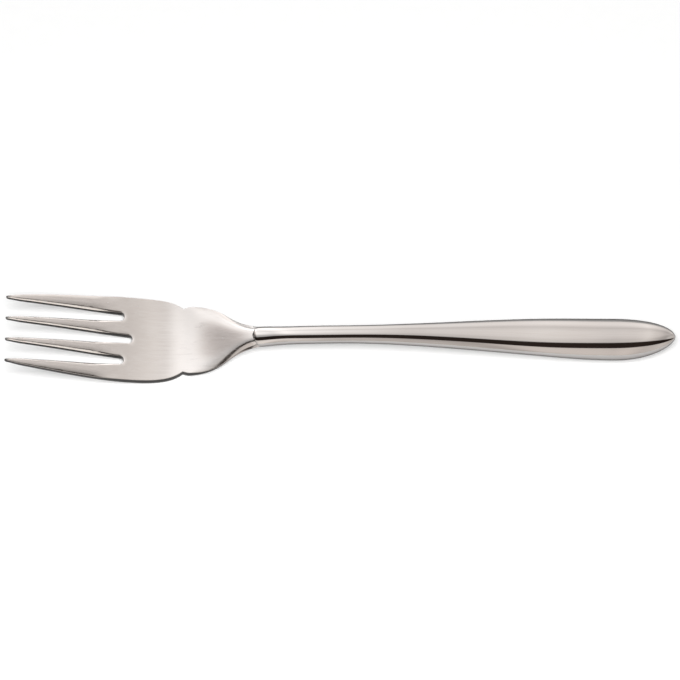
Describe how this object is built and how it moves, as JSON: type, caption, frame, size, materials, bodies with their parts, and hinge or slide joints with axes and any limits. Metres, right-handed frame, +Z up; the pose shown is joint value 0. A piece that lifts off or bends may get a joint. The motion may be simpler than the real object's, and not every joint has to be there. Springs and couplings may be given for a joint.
{
  "type": "fish fork",
  "caption": "Fish fork with long tapered tines, a dished head notched at both edges, and a slim polished hollow handle that swells to a leaf-shaped end.",
  "frame": {"origin": "on the table under the middle of the fork's length", "axes": "+X along the fork from the tines to the end of the handle, +Z up from the table"},
  "size_m": [0.18, 0.0242, 0.0103],
  "materials": {
    "satin_steel": "satin",
    "polished_steel": "mirror polished",
    "cement": "matt"
  },
  "bodies": {
    "root": {"fork_head": "satin_steel", "handle_upper_half": "polished_steel", "handle_lower_half": "polished_steel", "tang_cement": "cement"}
  },
  "joints": []
}
